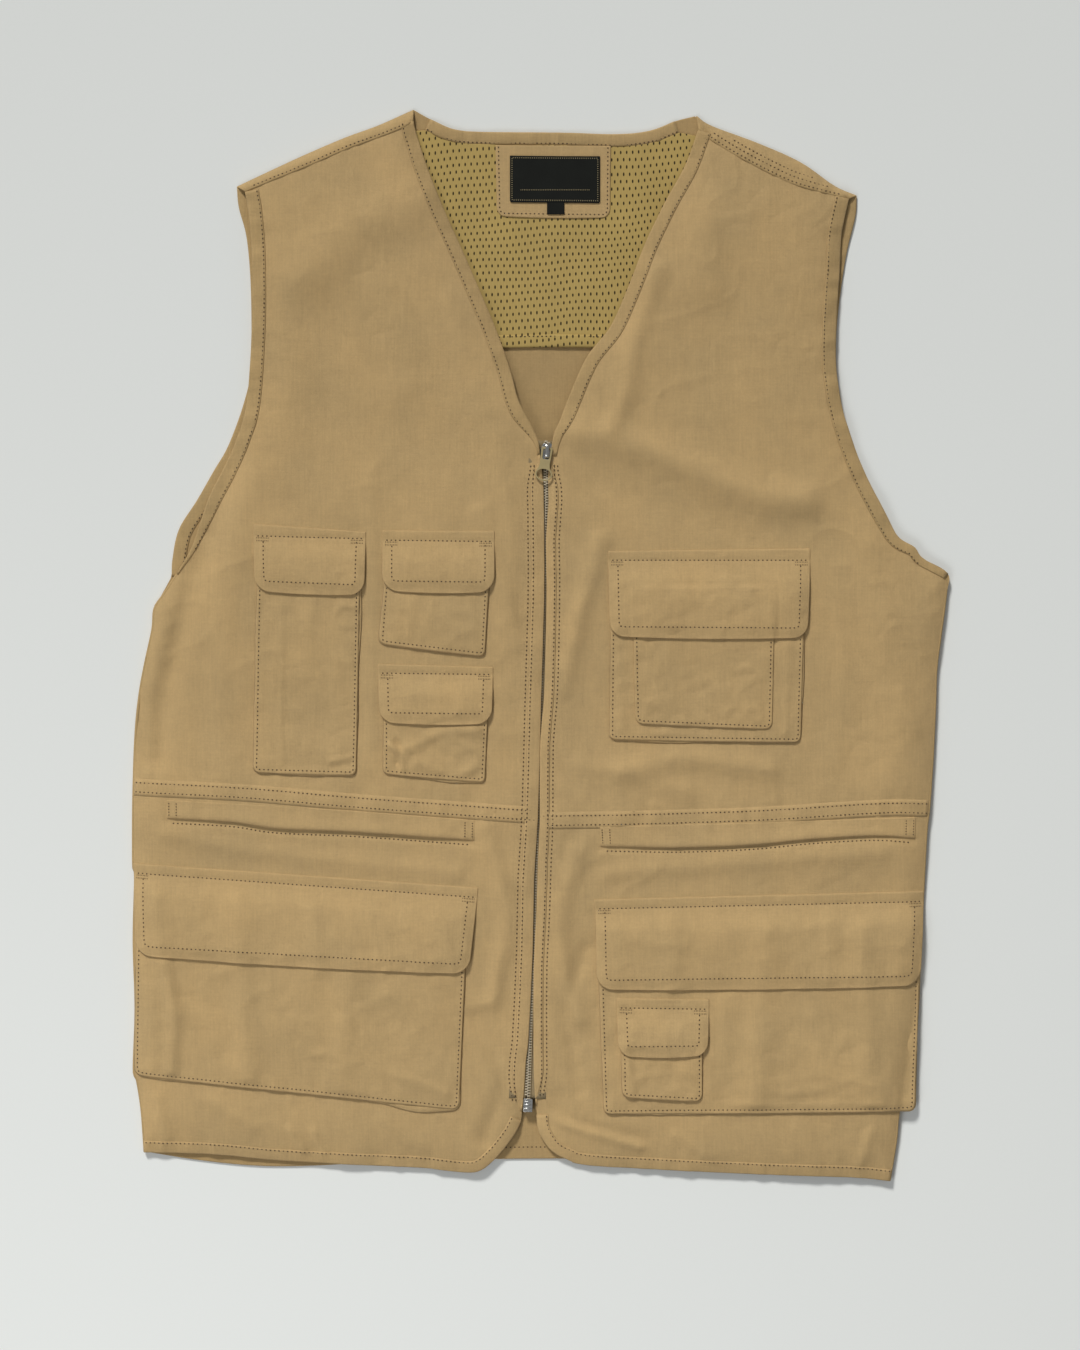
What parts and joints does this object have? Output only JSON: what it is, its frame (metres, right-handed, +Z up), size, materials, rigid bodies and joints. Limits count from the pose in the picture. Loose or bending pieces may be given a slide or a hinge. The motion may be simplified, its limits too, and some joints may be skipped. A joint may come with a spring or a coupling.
{
  "type": "fishing vest",
  "caption": "Zip-front cotton fishing vest laid flat, with flapped bellows pockets, slash pockets at the waist and a mesh-lined back yoke.",
  "frame": {"origin": "centre of the vest's outline on the surface it lies on", "axes": "+Z up from the surface, towards the front of the vest; +Y towards the collar; +X towards the wearer's left"},
  "size_m": [0.572, 0.752, 0.0222],
  "materials": {
    "shell": "washed tan cotton poplin with slubs and tone-on-tone topstitching",
    "mesh": "yellow-khaki knitted polyester mesh with oval holes",
    "label": "black damask-woven satin label, blank",
    "tape": "tan woven zip tape",
    "pad": "tan hook-and-loop pad",
    "tooth": "tan moulded zip teeth, slightly glossy",
    "nickel": "bright nickel plate, lightly scuffed",
    "painted_tan": "tan painted zinc with worn edges"
  },
  "bodies": {
    "root": {"back_panel": "shell", "mesh_lining": "mesh", "label_patch": "shell", "woven_label": "label", "size_tab": "label", "back_neck_binding": "shell", "right_shoulder_panel": "shell", "left_shoulder_panel": "shell", "right_back_armhole_binding": "shell", "left_back_armhole_binding": "shell", "right_side_seam": "shell", "left_side_seam": "shell"},
    "right_front": {"right_chest_panel": "shell", "right_skirt_panel": "shell", "right_neck_binding": "shell", "right_front_armhole_binding": "shell", "right_zip_tape": "tape", "right_zip_chain": "tooth", "zip_box": "nickel", "pen_pocket": "shell", "upper_box_pocket": "shell", "lower_box_pocket": "shell", "right_welt": "shell", "right_slash_pouch": "shell", "right_cargo_pocket": "shell", "pen_loop_pad": "pad", "upper_box_loop_pad": "pad", "lower_box_loop_pad": "pad", "right_cargo_loop_pad": "pad"},
    "left_front": {"left_chest_panel": "shell", "left_skirt_panel": "shell", "left_neck_binding": "shell", "left_front_armhole_binding": "shell", "left_zip_tape": "tape", "left_zip_chain": "tooth", "chest_pocket": "shell", "chest_patch_pocket": "shell", "left_welt": "shell", "left_slash_pouch": "shell", "left_cargo_pocket": "shell", "key_pocket": "shell", "chest_loop_pad": "pad", "left_cargo_loop_pad": "pad", "key_loop_pad": "pad"},
    "pen_flap": {"pen_flap": "shell", "pen_hook_pad": "pad"},
    "upper_box_flap": {"upper_box_flap": "shell", "upper_box_hook_pad": "pad"},
    "lower_box_flap": {"lower_box_flap": "shell", "lower_box_hook_pad": "pad"},
    "right_cargo_flap": {"right_cargo_flap": "shell", "right_cargo_hook_pad": "pad"},
    "chest_flap": {"chest_flap": "shell", "chest_hook_pad": "pad"},
    "left_cargo_flap": {"left_cargo_flap": "shell", "left_cargo_hook_pad": "pad"},
    "key_flap": {"key_flap": "shell", "key_hook_pad": "pad"},
    "slider": {"slider_body": "nickel"},
    "pull": {"pull_tab": "painted_tan"}
  },
  "joints": [
    {"name": "right_front_swing", "type": "hinge", "parent": "root", "child": "right_front", "pos_m": [-0.2861, 0, 0.0079], "axis": [0, -1, 0], "range_deg": [0, 40]},
    {"name": "left_front_swing", "type": "hinge", "parent": "root", "child": "left_front", "pos_m": [0.28675, 0.05, 0.0079], "axis": [0.0748, 0.9972, 0], "range_deg": [0, 40]},
    {"name": "pen_flap_hinge", "type": "hinge", "parent": "right_front", "child": "pen_flap", "pos_m": [-0.161, 0.075, 0.0096], "axis": [-0.9997, 0.0256, 0], "range_deg": [0, 120]},
    {"name": "upper_box_flap_hinge", "type": "hinge", "parent": "right_front", "child": "upper_box_flap", "pos_m": [-0.071, 0.072, 0.0096], "axis": [-1, 0, 0], "range_deg": [0, 120]},
    {"name": "lower_box_flap_hinge", "type": "hinge", "parent": "right_front", "child": "lower_box_flap", "pos_m": [-0.073, -0.0205, 0.0096], "axis": [-0.9999, 0.0125, 0], "range_deg": [0, 120]},
    {"name": "right_cargo_flap_hinge", "type": "hinge", "parent": "right_front", "child": "right_cargo_flap", "pos_m": [-0.164, -0.1685, 0.0096], "axis": [-0.9975, 0.0707, 0], "range_deg": [0, 120]},
    {"name": "chest_flap_hinge", "type": "hinge", "parent": "left_front", "child": "chest_flap", "pos_m": [0.1185, 0.059, 0.0096], "axis": [-1, 0, 0], "range_deg": [0, 120]},
    {"name": "left_cargo_flap_hinge", "type": "hinge", "parent": "left_front", "child": "left_cargo_flap", "pos_m": [0.154, -0.1825, 0.0096], "axis": [-0.9998, -0.0217, 0], "range_deg": [0, 120]},
    {"name": "key_flap_hinge", "type": "hinge", "parent": "left_front", "child": "key_flap", "pos_m": [0.086, -0.2545, 0.0149], "axis": [-0.9999, 0.0156, 0], "range_deg": [0, 100]},
    {"name": "slider_slide", "type": "slide", "parent": "right_front", "child": "slider", "axis": [-0.0305, -0.9995, 0], "range_m": [0, 0.446]},
    {"name": "pull_swing", "type": "hinge", "parent": "slider", "child": "pull", "pos_m": [0.00508, 0.1373, 0.0098], "axis": [-0.9884, 0.1521, 0], "range_deg": [0, 165]}
  ]
}
